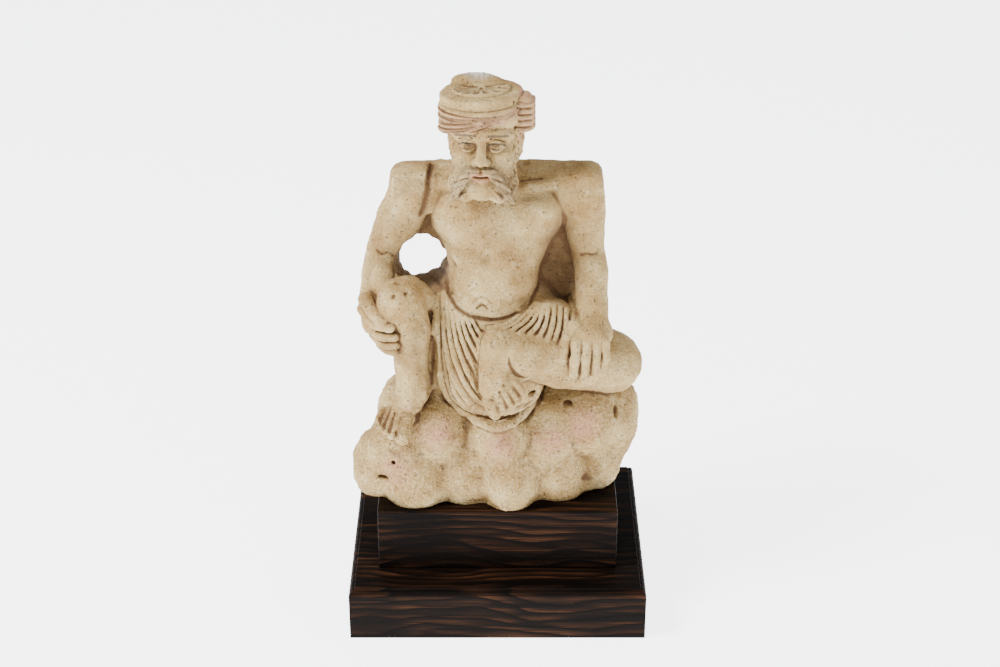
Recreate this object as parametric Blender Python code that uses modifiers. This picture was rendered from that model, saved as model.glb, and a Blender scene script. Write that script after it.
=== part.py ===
"""A seated plaster figure on a stained wooden stand of two steps. Blender 4.5, metres, +Z up.

The origin is the centre of the stand's underside, and the figure looks along -Y. The stand is two
pieces of wood, a moulded board and a plain block. The figure is one plaster casting that rests on the
block. Its forms are laid out in figure units, which are shares of its own height, and fused into one skin.
"""

import math

import bmesh
import bpy
import numpy as np
from mathutils import Euler, Matrix, Vector
from mathutils.bvhtree import BVHTree

# Stand: the lower board with its moulding, and the block on it
BOARD_WIDTH = 0.240
BOARD_DEPTH = 0.193
BOARD_FACE_HEIGHT = 0.0405
MOULDING_REACH = 0.0045
OVOLO_HEIGHT = 0.004
FILLET_HEIGHT = 0.002
BLOCK_WIDTH = 0.1936
BLOCK_DEPTH = 0.129
BLOCK_HEIGHT = 0.0545
EDGE_WEAR = 0.0008
CONTACT_GAP = 0.0003

# Figure: its nominal height is set here, and every form on it is a share of that height. The cap's
# rounded edge takes about one unit off it.
FIGURE_HEIGHT = 0.345
UNITS_TALL = 345.0
UNIT = FIGURE_HEIGHT / UNITS_TALL
SKIN_VOXEL = 1.5 * UNIT
SKIN_FACES = 9300
CARVING_CARE = 5e-5
COARSE_VOXEL = 3.5
ROCK_SMOOTHING = 6
BODY_SMOOTHING = 12
LIMB_SMOOTHING = 5
FOLDS_DOWN = 4
FOLDS_ACROSS = 4

BOARD_TOP = BOARD_FACE_HEIGHT + OVOLO_HEIGHT + FILLET_HEIGHT
BLOCK_BASE = BOARD_TOP + CONTACT_GAP
BLOCK_TOP = BLOCK_BASE + BLOCK_HEIGHT
FIGURE_BASE = BLOCK_TOP + CONTACT_GAP

# Landmarks of the pose, in figure units: x to the viewer's right, y away, z up from the underside.
# Left and right are the figure's own, so its right side is at -x.
SHOULDER_R, SHOULDER_L = (-63, 8, 256), (61, 8, 257)
ELBOW_R, ELBOW_L = (-89, 8, 199), (71, 4, 200)
WRIST_R, WRIST_L = (-97, -20, 167), (75, -18, 155)
HIP_R, HIP_L = (-34, 4, 140), (34, 4, 134)
KNEE_R, KNEE_L = (-75, -31, 187), (91, -14, 110)
ANKLE_R, ANKLE_L = (-66, -38, 103), (-1, -50, 143)
NECK = (-6, 4, 262)
HEAD = (-9, -8, 300)
HOLE_CENTRE, HOLE_RADII, HOLE_LENGTH = (-60, 20, 190), (20, 22), 70
TOES_FROM, CLOTH_TO, BEARD_FROM = 64, 182, 256


def lerp(a, b, t):
    return tuple(p + (q - p) * t for p, q in zip(a, b))


def template(build, rounding=0, **settings):
    """The points and faces of one primitive, its edges rounded if asked, to be placed many times."""
    mesh = bmesh.new()
    build(mesh, **settings)
    if rounding:
        bmesh.ops.bevel(mesh, geom=list(mesh.edges), offset=rounding, segments=6, profile=0.5,
                        affect="EDGES")
    points = np.array([v.co[:] for v in mesh.verts])
    faces = [[v.index for v in f.verts] for f in mesh.faces]
    mesh.free()
    return points, faces


BALL = template(bmesh.ops.create_uvsphere, u_segments=24, v_segments=14, radius=1)
DRUM = template(bmesh.ops.create_cone, cap_ends=True, segments=24, radius1=1, radius2=1, depth=2)
PAD = template(bmesh.ops.create_cube, rounding=0.7, size=2)


class Skin:
    """Closed shells gathered in one mesh, to be fused by a voxel remesh."""

    def __init__(self):
        self.points = np.zeros((0, 3))
        self.faces = []

    def add(self, points, faces, place):
        start = len(self.points)
        turned = points @ np.array(place.to_3x3()).T + np.array(place.translation)
        self.points = np.concatenate([self.points, turned])
        self.faces += [[start + i for i in face] for face in faces]

    def place(self, centre, radii, tilt):
        turn = Euler([math.radians(a) for a in tilt]).to_matrix().to_4x4()
        return Matrix.Translation(centre) @ turn @ Matrix.Diagonal((*radii, 1))

    def blob(self, centre, radii, tilt=(0, 0, 0)):
        self.add(*BALL, self.place(centre, radii, tilt))

    def pad(self, centre, halves, tilt=(0, 0, 0)):
        self.add(*PAD, self.place(centre, halves, tilt))

    def disc(self, centre, radii, tilt=(0, 0, 0)):
        self.add(*DRUM, self.place(centre, radii, tilt))

    def limb(self, *stations):
        """A chain of (x, y, z, radius) stations, joined by tapered cones with a ball at each."""
        for x, y, z, r in stations:
            self.blob((x, y, z), (r, r, r))
        for a, b in zip(stations, stations[1:]):
            along = Vector(b[:3]) - Vector(a[:3])
            if along.length < 0.01:
                continue
            turn = along.to_track_quat("Z", "Y").to_matrix().to_4x4()
            points = DRUM[0] * (1, 1, along.length / 2)
            points[:, :2] *= np.where(points[:, 2:] < 0, a[3], b[3])
            self.add(points, DRUM[1], Matrix.Translation(lerp(a[:3], b[:3], 0.5)) @ turn)

    def join(self, other):
        self.add(other.points, other.faces, Matrix.Identity(4))

    def surface(self):
        return BVHTree.FromPolygons(self.points.tolist(), self.faces)


def rock(skin):
    """The rounded rock under the figure: a dome, a row of lobes at its foot and a row above."""
    skin.blob((-6, 2, 14), (104, 56, 84))
    skin.pad((0, 14, 30), (98, 42, 46))
    skin.pad((0, 10, 58), (80, 38, 36))
    skin.blob((-82, -30, 38), (26, 26, 26))
    foot = [(-94, -14, 20, 25, 27, 34), (-66, -31, 18, 31, 31, 38), (-24, -24, 18, 30, 32, 38),
            (8, -30, 18, 29, 36, 40), (48, -18, 18, 30, 34, 38), (78, -3, 20, 26, 31, 36)]
    upper = [(-74, -9, 58, 24, 34, 32), (-49, -26, 60, 27, 30, 29), (2, -31, 56, 27, 31, 29),
             (43, -26, 60, 27, 31, 30), (73, -14, 62, 30, 33, 31), (95, 8, 50, 23, 31, 36)]
    for x, y, z, rx, ry, rz in foot + upper:
        skin.blob((x, y, z), (rx, ry, rz))


def torso(skin):
    skin.blob((0, 6, 238), (52, 29, 36))
    skin.blob((-20, -2, 238), (28, 22, 22))
    skin.blob((22, -2, 238), (28, 22, 22))
    skin.blob((-1, 2, 212), (41, 30, 36))
    skin.blob((-4, -3, 188), (36.5, 33, 34))
    skin.blob((-6, 4, 154), (52, 36, 34))
    skin.limb((*SHOULDER_R, 20), (-34, 10, 264, 17), (0, 8, 266, 19), (34, 10, 264, 17), (*SHOULDER_L, 20))
    skin.limb((*NECK, 24), (*lerp(NECK, HEAD, 0.8), 21))
    skin.pad((-5, 22, 204), (80, 12, 76))
    skin.pad((-4, 22, 128), (72, 20, 62))
    skin.blob((-3, 18, 232), (54, 22, 44))
    skin.blob((-5, 20, 176), (42, 20, 40))


def arms(skin):
    skin.limb((*SHOULDER_R, 20), (-76, 9, 228, 18), (*ELBOW_R, 14.5),
              (-93, 0, 187, 13.5), (*WRIST_R, 12))
    skin.limb((*SHOULDER_L, 20), (66.5, 7, 235, 16.5), (*ELBOW_L, 12.8),
              (74, -4, 186, 13.2), (*WRIST_L, 12.5))
    skin.blob((-97, -27, 155), (11, 17, 18), (0, 10, 0))
    skin.blob((74, -28, 144), (17, 14, 17))


def legs(skin):
    skin.limb((*HIP_R, 28), (*lerp(HIP_R, KNEE_R, 0.5), 24), (*KNEE_R, 19))
    skin.blob((KNEE_R[0], KNEE_R[1] - 7, KNEE_R[2] - 6), (17.5, 14, 22))
    skin.limb((*KNEE_R, 18), (-69, -34, 152, 17), (-68, -35, 130, 14.5), (*ANKLE_R, 14.2))
    skin.limb((-66, -32, 99, 15), (-72, -42, 86, 14.5), (-80, -50, 76, 12.5))
    skin.blob((-81, -50, 72), (16, 13, 10), (20, 0, 0))
    skin.limb((*HIP_L, 28), (*lerp(HIP_L, KNEE_L, 0.5), 26), (*KNEE_L, 24))
    skin.limb((*KNEE_L, 24), (50, -34, 120, 21), (26, -43, 131, 17.5), (*ANKLE_L, 13.5))
    skin.limb((*ANKLE_L, 13.5), (-2, -55, 124, 12.5), (4, -58, 106, 12))
    skin.blob((7, -59, 104), (15, 9, 15), (0, -40, 0))


def drapery(skin):
    """The cloth over the hips and between the legs, as a sloping mass."""
    skin.blob((-6, -8, 146), (50, 30, 28))
    skin.blob((-7, -18, 124), (42, 32, 48))
    skin.blob((-2, -35, 102), (38, 20, 28))
    skin.pad((-44, -8, 120), (13, 22, 44))
    skin.blob((36, -16, 144), (28, 24, 24))


def head(skin):
    x, y, z = HEAD
    skin.blob((x, y + 3, z + 5), (29.5, 34, 35))
    skin.blob((x, y - 8, z - 12), (26, 27, 28))
    skin.blob((x, y - 22, z - 27), (19, 17, 14))
    skin.blob((x + 16, y - 14, z - 34), (16, 15, 13))
    skin.blob((x - 16, y - 16, z - 34), (15, 15, 13))


def hands_and_feet(skin):
    """Fingers and toes, each a short limb. The right hand wraps the knee and the left one lies flat."""
    skin.limb((-100, -34, 170, 5.5), (-95, -43, 168, 5.5), (-89, -48, 163, 4.6))
    for k in range(4):
        z = 157 - 8.5 * k
        skin.limb((-104 + 4 * k, -33, z + 2, 4.6), (-97 + 2 * k, -44, z - 3, 4.4),
                  (-83 + 0.5 * k, -51 + k, z - 4, 4))
    skin.limb((62, -33, 148, 6.5), (54, -42, 139, 5.6), (48, -50, 132, 5))
    for k in range(4):
        x = 60 + 8.8 * k
        reach = (112, 106, 108, 113)[k]
        skin.limb((x + 1, -38, 143, 4.4), (x, -49, 129, 4.2), (x - 1, -54 + k, reach, 3.8))
    toes = [(-73, -61, 66, 6), (-82.5, -61, 68, 4), (-89, -58, 70.5, 3.6), (-94.5, -54, 73, 3.3),
            (-99, -49, 76, 3)]
    for x, y, z, r in toes:
        skin.limb((x + 3, y + 12, z + 9, r), (x, y, z, r))
    for k in range(5):
        t = k / 4
        x, y, z = lerp((-2, -64, 90), (22, -62, 108), t)
        skin.limb((x - 4, y + 1, z + 13, 4.4 - 1.2 * t), (x, y - 1, z, 4.6 - 1.4 * t))


def face(skin):
    """Brow, eyes, nose, cheeks and lips of a calm, bearded face, with the moustache and curls."""
    x, y, z = HEAD
    for side in (-1, 1):
        skin.limb((x - 1 + 20 * side, y - 22, z + 12, 3.6), (x - 1 + 8 * side, y - 29, z + 13, 3.6))
        skin.blob((x - 1 + 12 * side, y - 26, z + 5), (7.5, 6, 4.5))
        skin.blob((x - 1 + 15 * side, y - 23, z - 9), (9, 8, 9))
        for k in range(2):
            curl = [(4, -35, -15 - 3 * k, 3.6), (12 - k, -35, -19 - 3 * k, 4),
                    (19 - 2 * k, -31, -28 - 3 * k, 3.8), (24 - 4 * k, -27, -38 - 2 * k, 3.2)]
            skin.limb(*[(x - 1 + side * a, y + b, z + c, r) for a, b, c, r in curl])
    for k in range(6):
        skin.blob((x + 26, y - 3 - k, z + 12 - 9 * k), (5.5, 10, 5.2))
        skin.blob((x - 25, y - 1 - k, z + 12 - 9 * k), (4.5, 9, 5.2))
    skin.limb((x - 1, y - 30, z + 9, 3.8), (x - 1.5, y - 37, z - 8, 4.6))
    skin.limb((x - 8, y - 33, z - 9, 3.4), (x + 5, y - 33, z - 9, 3.4))
    skin.limb((x - 6, y - 34, z - 24, 3.4), (x + 5, y - 34, z - 24, 3.4))


def headdress(skin):
    """A flat cap with a raised pleated middle, over three rolls of the band, with the bow at its side."""
    x, y, z = HEAD
    skin.blob((x - 1, y + 2, z + 22), (29, 31, 14))
    crown = (x - 1, y + 3, z + 31)
    skin.disc(crown, (31, 33, 6.5), (7, -8, 0))
    skin.disc((crown[0] + 1, crown[1] + 2, crown[2] + 5), (22, 22, 4.5), (7, -8, 0))
    for k in range(3):
        ring(skin, (x - 1, y + 2, z + 27 - 7 * k), (28.5 - 0.6 * k, 30), 4.6, 8 - 3 * k)
    skin.blob((x - 5, y - 30, z + 27), (9, 6, 6))
    for k in range(4):
        skin.blob((x + 31, y - 4, z + 37 - 8 * k), (8.5, 10, 4.8))


def ring(skin, centre, reach, thickness, droop):
    """One roll of the band round the cap, which hangs lower on the figure's right by the droop."""
    around = [2 * math.pi * i / 20 for i in range(21)]
    skin.limb(*[(centre[0] + reach[0] * math.cos(a), centre[1] + reach[1] * math.sin(a),
                 centre[2] + droop / 2 * math.cos(a), thickness) for a in around])


def swag(start, foot, end, steps=18):
    """Points of a hanging fold: a cubic that drops from its start to its foot and rises to its end."""
    (x0, z0), (x1, z1) = start, end
    depth = (foot - (z0 + z1) / 8) * 4 / 3
    corners = np.array([(x0, z0), (x0 + 0.05 * (x1 - x0), depth), (x1 + 0.02 * (x1 - x0), depth), (x1, z1)])
    t = np.linspace(0, 1, steps)
    weights = np.array([(1 - t) ** 3, 3 * t * (1 - t) ** 2, 3 * t ** 2 * (1 - t), t ** 3])
    return weights.T @ corners


def folds():
    """Every raised fold as a line of (x, z) points, with its radius."""
    found = []
    for k in range(FOLDS_DOWN):
        t = k / (FOLDS_DOWN - 1)
        start = (-47 + 28 * t, 172 - 7 * t)
        end = (36 - 42 * t, 104 + 36 * t)
        found.append((swag(start, 79 + 54 * t, end), 3.6 - 0.6 * t))
    for k in range(FOLDS_ACROSS):
        t = k / (FOLDS_ACROSS - 1)
        top = np.array((26 + 28 * t, 164 - 5 * t))
        foot = np.array((-2 + 52 * t, 154 - 6 * t))
        s = np.linspace(0, 1, 8)[:, None]
        sag = np.array((8 * (1 - t), -6 * (1 - t)))
        found.append((top * (1 - s) + foot * s + sag * 4 * s * (1 - s), 2.6))
    return found


def laid_on(surface, line, radius):
    """Stations along a fold, each on the surface that a ray from the front meets."""
    stations = []
    for x, z in line:
        hit = surface.ray_cast(Vector((x, -UNITS_TALL, z)), Vector((0, 1, 0)))[0]
        if hit is not None and hit.y < 4:
            stations.append((hit.x, hit.y - 0.3 * radius, hit.z, radius))
    return stations


def fused(skin, voxel, smoothing):
    """The shells as one smooth skin: a voxel remesh and a smoothing, read back as a new Skin."""
    made = bpy.data.meshes.new("shells")
    made.from_pydata(skin.points.tolist(), [], skin.faces)
    holder = bpy.data.objects.new("shells", made)
    cutters.objects.link(holder)
    modifier(holder, "REMESH", mode="VOXEL", voxel_size=voxel)
    modifier(holder, "SMOOTH", factor=0.5, iterations=round(smoothing))
    result = evaluated(holder)
    bpy.data.objects.remove(holder)
    whole = Skin()
    whole.points = np.array([v.co[:] for v in result.vertices])
    whole.faces = [list(p.vertices) for p in result.polygons]
    return whole


def figure():
    """The casting: the large masses are fused and smoothed first, then the carving is fused onto them."""
    whole = Skin()
    for forms, smoothing in (((rock, drapery), ROCK_SMOOTHING), ((torso,), BODY_SMOOTHING)):
        masses = Skin()
        for form in forms:
            form(masses)
        whole.join(fused(masses, COARSE_VOXEL, smoothing))
    surface = whole.surface()
    for line, radius in folds():
        whole.limb(*laid_on(surface, line, radius))
    limbs = Skin()
    for form in (arms, legs, head):
        form(limbs)
    whole.join(fused(limbs, COARSE_VOXEL, LIMB_SMOOTHING))
    for form in (hands_and_feet, face, headdress):
        form(whole)
    made = bpy.data.meshes.new("figure")
    made.from_pydata((whole.points * UNIT + (0, 0, FIGURE_BASE)).tolist(), [], whole.faces)
    body = bpy.data.objects.new("figure", made)
    parts.objects.link(body)
    made.materials.append(materials["figure"])
    return body


def box(width, depth, low, high):
    """A new bmesh holding one box, centred on the stand's axis between two heights."""
    mesh = bmesh.new()
    place = Matrix.Translation((0, 0, (low + high) / 2)) @ Matrix.Diagonal((width, depth, high - low, 1))
    bmesh.ops.create_cube(mesh, size=1, matrix=place)
    return mesh


def object_from(mesh, name, group):
    data = bpy.data.meshes.new(name)
    mesh.to_mesh(data)
    mesh.free()
    made = bpy.data.objects.new(name, data)
    group.objects.link(made)
    if group is parts:
        data.materials.append(materials[name])
    else:
        made.hide_render = True
        made.display_type = "WIRE"
    return made


def modifier(made, kind, **settings):
    added = made.modifiers.new(kind.title(), kind)
    for key, value in settings.items():
        setattr(added, key, value)
    return added


def stand_board():
    """The lower board: an ovolo round its top edge, and above that a low fillet up to a flat top."""
    body = box(BOARD_WIDTH, BOARD_DEPTH, 0, BOARD_FACE_HEIGHT + OVOLO_HEIGHT)
    top = [e for e in body.edges if min(v.co.z for v in e.verts) > BOARD_FACE_HEIGHT]
    bmesh.ops.bevel(body, geom=top, offset=OVOLO_HEIGHT, segments=5, profile=0.5, affect="EDGES")
    board = object_from(body, "stand_board", parts)
    plate = box(BOARD_WIDTH - 2 * MOULDING_REACH, BOARD_DEPTH - 2 * MOULDING_REACH,
                BOARD_FACE_HEIGHT / 2, BOARD_TOP)
    modifier(board, "BOOLEAN", operation="UNION", solver="EXACT",
             object=object_from(plate, "board_top", cutters))
    modifier(board, "BEVEL", width=EDGE_WEAR, segments=2, limit_method="ANGLE",
             angle_limit=math.radians(40))


def stand_block():
    """The upper block, plain, with slightly worn edges."""
    block = object_from(box(BLOCK_WIDTH, BLOCK_DEPTH, BLOCK_BASE, BLOCK_TOP), "stand_block", parts)
    modifier(block, "BEVEL", width=EDGE_WEAR, segments=2)


def arm_hole():
    """A ragged tunnel from front to back, through the web between the right arm and the body."""
    x, y, z = HOLE_CENTRE
    mesh = bmesh.new()
    bmesh.ops.create_cone(mesh, cap_ends=True, segments=22, radius1=1, radius2=1, depth=1,
                          matrix=Matrix.Rotation(math.radians(90), 4, "X"))
    for v in mesh.verts:
        around = math.atan2(v.co.z, v.co.x)
        ragged = (1 + 0.05 * math.sin(3 * around + 1) + 0.035 * math.sin(7 * around)
                  + 0.02 * math.sin(11 * around))
        v.co = Vector((x + v.co.x * HOLE_RADII[0] * ragged, y + v.co.y * HOLE_LENGTH,
                       z + v.co.z * HOLE_RADII[1] * ragged)) * UNIT + Vector((0, 0, FIGURE_BASE))
    return object_from(mesh, "arm_hole", cutters)


def underside():
    """Everything under the figure, which the mould left flat there."""
    mesh = box(2 * BOARD_WIDTH, 2 * BOARD_WIDTH, FIGURE_BASE - BOARD_WIDTH, FIGURE_BASE)
    return object_from(mesh, "underside", cutters)


def evaluated(made):
    bpy.context.view_layer.update()
    return bpy.data.meshes.new_from_object(made.evaluated_get(bpy.context.evaluated_depsgraph_get()))


def mark_plain_parts(body):
    """A vertex group that is weak on the carving, so that the decimation spends its faces there."""
    group = body.vertex_groups.new(name="plain")
    places = np.array([v.co[:] for v in body.data.vertices])
    x, y, z = ((places - (0, 0, FIGURE_BASE)) / UNIT).T
    carved = (y < 0) & (((z > TOES_FROM) & (z < CLOTH_TO)) | (z > BEARD_FROM))
    group.add(np.flatnonzero(carved).tolist(), 0.1, "REPLACE")
    group.add(np.flatnonzero(~carved).tolist(), 1.0, "REPLACE")


for old in list(bpy.data.objects):
    bpy.data.objects.remove(old)
parts = bpy.data.collections.new("seated_figure")
cutters = bpy.data.collections.new("cutters")
for group in (parts, cutters):
    bpy.context.scene.collection.children.link(group)


def material(name, colour, roughness):
    made = bpy.data.materials.new(name)
    made.use_nodes = True
    shader = made.node_tree.nodes["Principled BSDF"]
    shader.inputs["Base Color"].default_value = (*colour, 1)
    shader.inputs["Roughness"].default_value = roughness
    shader.inputs["Metallic"].default_value = 0
    return made


materials = {
    "figure": material("plaster", (0.58, 0.45, 0.30), 0.9),
    "stand_board": material("stained_board", (0.035, 0.022, 0.016), 0.45),
    "stand_block": material("stained_block", (0.045, 0.024, 0.014), 0.4),
}

stand_board()
stand_block()
body = figure()
modifier(body, "REMESH", mode="VOXEL", voxel_size=SKIN_VOXEL, use_smooth_shade=True)
modifier(body, "BOOLEAN", operation="DIFFERENCE", solver="EXACT", object=arm_hole())
modifier(body, "REMESH", mode="VOXEL", voxel_size=SKIN_VOXEL, use_smooth_shade=True)
modifier(body, "SMOOTH", factor=0.5, iterations=1)
body.data = evaluated(body)
body.modifiers.clear()
mark_plain_parts(body)
modifier(body, "DECIMATE", ratio=SKIN_FACES / sum(len(p.vertices) - 2 for p in body.data.polygons),
         vertex_group="plain", vertex_group_factor=CARVING_CARE)
modifier(body, "BOOLEAN", operation="DIFFERENCE", solver="EXACT", object=underside())
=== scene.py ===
"""Seated plaster figure on its stained wooden stand, dressed for its portrait.

The stand's two pieces are the solids of the frame with a stain put on them. The casting is modelled here as
clay: a distance field on a grid of points, built up and cut back form by form, and skinned at the end.
"""

import math

import bpy
import numpy as np
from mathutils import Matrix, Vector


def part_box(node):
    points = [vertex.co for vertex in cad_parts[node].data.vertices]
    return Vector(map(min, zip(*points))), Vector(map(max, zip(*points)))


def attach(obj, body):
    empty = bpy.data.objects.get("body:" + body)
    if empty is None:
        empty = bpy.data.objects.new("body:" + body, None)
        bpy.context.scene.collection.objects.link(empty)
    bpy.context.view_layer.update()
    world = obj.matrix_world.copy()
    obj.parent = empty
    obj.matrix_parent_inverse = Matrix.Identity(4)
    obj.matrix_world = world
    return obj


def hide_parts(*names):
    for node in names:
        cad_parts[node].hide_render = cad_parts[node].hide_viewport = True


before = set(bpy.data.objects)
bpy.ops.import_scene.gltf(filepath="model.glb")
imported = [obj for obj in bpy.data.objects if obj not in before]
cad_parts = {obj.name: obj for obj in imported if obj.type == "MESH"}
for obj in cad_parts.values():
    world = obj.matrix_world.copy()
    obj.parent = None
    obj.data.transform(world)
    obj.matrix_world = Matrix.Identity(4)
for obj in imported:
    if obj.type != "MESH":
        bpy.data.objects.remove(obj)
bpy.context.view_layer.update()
scene = bpy.context.scene

# Floor, lights and camera: a pale sweep in a studio, soft light from the left, a long lens that looks
# down on the figure by 28 degrees. None of it belongs to the object.
LENS, SENSOR = 70.07, 36
EYE_PLACE = (0.0020, -1.3775, 0.9672)
LOOKS_DOWN = 28.159
FLOOR_REACH = 9
FLOOR_TINT = (0.86, 0.87, 0.89, 1)
FLOOR_FINISH = {"Base Color": FLOOR_TINT, "Roughness": 0.9,
                "Emission Color": FLOOR_TINT, "Emission Strength": 4.4}
SKY_FINISH = {"Color": (0.95, 0.97, 1, 1), "Strength": 0.85}

camera = bpy.data.cameras.new("camera")
camera.lens = LENS
camera.sensor_width = SENSOR
eye = bpy.data.objects.new("camera", camera)
eye.location = EYE_PLACE
eye.rotation_euler = (math.radians(90 - LOOKS_DOWN), 0, 0)
scene.collection.objects.link(eye)
scene.camera = eye


def plain_mesh(name, points, faces):
    """A mesh object at the origin from arrays of points and faces."""
    mesh = bpy.data.meshes.new(name)
    mesh.from_pydata(np.asarray(points).tolist(), [], np.asarray(faces).tolist())
    made = bpy.data.objects.new(name, mesh)
    scene.collection.objects.link(made)
    return made


square = np.array([(-1, -1, 0), (1, -1, 0), (1, 1, 0), (-1, 1, 0)])
floor = plain_mesh("floor", square * FLOOR_REACH, [(0, 1, 2, 3)])
pale = bpy.data.materials.new("pale floor")
sky = bpy.data.worlds.new("studio")
for owner, shader, values in ((pale, "Principled BSDF", FLOOR_FINISH), (sky, "Background", SKY_FINISH)):
    owner.use_nodes = True
    for socket, value in values.items():
        owner.node_tree.nodes[shader].inputs[socket].default_value = value
floor.data.materials.append(pale)
scene.world = sky


def softbox(name, place, aim, size, power):
    """A square area light at a place, turned to face a point."""
    light = bpy.data.lights.new(name, "AREA")
    light.size = size
    light.energy = power
    made = bpy.data.objects.new(name, light)
    made.location = place
    gap = [a - p for a, p in zip(aim, place)]
    flat = math.hypot(gap[0], gap[1])
    made.rotation_euler = (math.atan2(flat, -gap[2]), 0, math.atan2(-gap[0], gap[1]))
    scene.collection.objects.link(made)


softbox("key", (-1.4, -0.6, 1.9), (0, 0, 0.25), 0.6, 88)
softbox("fill", (1.7, -1.6, 1.3), (0, 0, 0.2), 1.4, 14)


# Stand: a moulded board and a plain block of softwood, stained nearly black and left a little satin.
# The grain runs from side to side, and reddish brown shows where the stain is thin between the rings.
class Amount:
    """A shader socket in Python arithmetic. Each operator adds the Math node of its name."""

    def __init__(self, finish, socket):
        self.finish, self.socket = finish, socket

    def maths(self, operation, *others, swap=False, clamp=False):
        """The Math node of an operation on this amount and the others, which a swap puts first."""
        terms = (*others, self) if swap else (self, *others)
        return self.finish.node("ShaderNodeMath", {"operation": operation, "use_clamp": clamp},
                                dict(enumerate(terms)))

    def __add__(self, other):
        return self.maths("ADD", other)

    def __radd__(self, other):
        return self.maths("ADD", other)

    def __sub__(self, other):
        return self.maths("SUBTRACT", other)

    def __rsub__(self, other):
        return self.maths("SUBTRACT", other, swap=True)

    def __mul__(self, other):
        return self.maths("MULTIPLY", other)

    def __rmul__(self, other):
        return self.maths("MULTIPLY", other)

    def __pow__(self, other):
        return self.maths("POWER", other)

    def held(self):
        """The same amount, kept between 0 and 1."""
        return self.maths("ADD", 0, clamp=True)

    def above(self, start, end):
        """0 below the start, 1 past the end, and a straight line between them."""
        return ((self - start) * (1 / (end - start))).held()


class Finish:
    """A material under construction, with its Principled shader and its Object coordinates."""

    def __init__(self, name):
        self.material = bpy.data.materials.new(name)
        self.material.use_nodes = True
        self.tree = self.material.node_tree
        self.shader = self.tree.nodes["Principled BSDF"]
        self.place = self.node("ShaderNodeTexCoord", {}, {}, out="Object")

    def node(self, kind, settings, sockets, out=0):
        """Any node: its settings come first, and then the values or links of its sockets."""
        made = self.tree.nodes.new(kind)
        for key, value in settings.items():
            setattr(made, key, value)
        for key, value in sockets.items():
            self.feed(made.inputs[key], value)
        return Amount(self, made.outputs[out])

    def feed(self, socket, value):
        """Links an amount to a socket, or sets a plain value on it."""
        if isinstance(value, Amount):
            self.tree.links.new(value.socket, socket)
        else:
            socket.default_value = value

    def blend(self, mask, low, high):
        """The low colour where the mask is 0, and the high one where it is 1."""
        return self.node("ShaderNodeMix", {"data_type": "RGBA"}, {0: mask, 6: low, 7: high}, out=2)

    def stretch(self, sizes):
        """Object coordinates scaled along each axis."""
        return self.node("ShaderNodeMapping", {}, {"Vector": self.place, "Scale": sizes})

    def cloud(self, scale, detail, rough, vector=None):
        """A soft noise, about 0.5 on average, with so many cells to the metre."""
        return self.node("ShaderNodeTexNoise", {}, {"Vector": vector or self.place, "Scale": scale,
                                                    "Detail": detail, "Roughness": rough})

    def axis(self, name):
        """One of the Object coordinates as an amount, in metres."""
        return self.node("ShaderNodeSeparateXYZ", {}, {0: self.place}, out=name)

    def bump(self, height, distance, strength=1.0):
        """A normal tipped by a height, which stands for so many metres."""
        return self.node("ShaderNodeBump", {}, {"Height": height, "Distance": distance, "Strength": strength})

    def finish(self, **sockets):
        """The material, with its shader's sockets fed by name."""
        for key, value in sockets.items():
            self.feed(self.shader.inputs[key.replace("_", " ")], value)
        return self.material


def stained_wood(name, heart):
    """Softwood sawn round a heart line at (y, z): growth rings are the distance from that line, which wanders
    with x, plus fine fibres drawn out along x. Late wood takes the stain black and early wood stays brown."""
    wood = Finish(name)
    wander = wood.cloud(1.0, 2, 0.5, wood.stretch((7, 14, 14)))
    across, rise = wood.axis("Y") - heart[0], wood.axis("Z") - heart[1]
    ring = (across * across + rise * rise) ** 0.5 * 190 + wander * 7
    band = ring.maths("FRACT")
    late = band.above(0.15, 0.8) * (1 - band.above(0.9, 1.0))
    fibre = wood.cloud(1.0, 4, 0.6, wood.stretch((25, 1500, 1500)))
    streak = wood.cloud(1.0, 3, 0.55, wood.stretch((9, 160, 160)))
    patch = wood.cloud(1.0, 2, 0.5, wood.stretch((12, 40, 40)))
    brown = (1 - late) * fibre.above(0.35, 0.75) * streak.above(0.38, 0.66)
    tint = wood.blend(patch.above(0.4, 0.62), (0.028, 0.0105, 0.0048, 1), (0.115, 0.045, 0.0185, 1))
    colour = wood.blend(brown, (0.0026, 0.0017, 0.0013, 1), tint)
    relief = fibre * 0.5 + late * 0.5
    return wood.finish(Base_Color=colour, Roughness=0.42 + fibre * 0.22, Specular_IOR_Level=0.04,
                       Normal=wood.bump(relief, 0.0006, 0.5))


for node, heart in (("stand_board", (0.03, -0.055)), ("stand_block", (-0.01, 0.02))):
    piece = bpy.data.objects[node]
    finish = stained_wood("stained " + node.split("_")[1], heart)
    for slot in piece.material_slots:
        slot.material = finish


# Casting: the whole figure and its rock are one piece of plaster, cast in a press mould and worked over
# by hand, and it rests on the block under its own weight. Lengths are millimetres from its underside.
STEP, FINE_STEP = 1.05, 0.68
CLAY_SPANS = ((-122, -42, 26, 122), (-74, -66, -20, 62), (-4, 264, 345, 350))
BASE = 1000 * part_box("figure")[0][2]
FAR = 12.0


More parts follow.
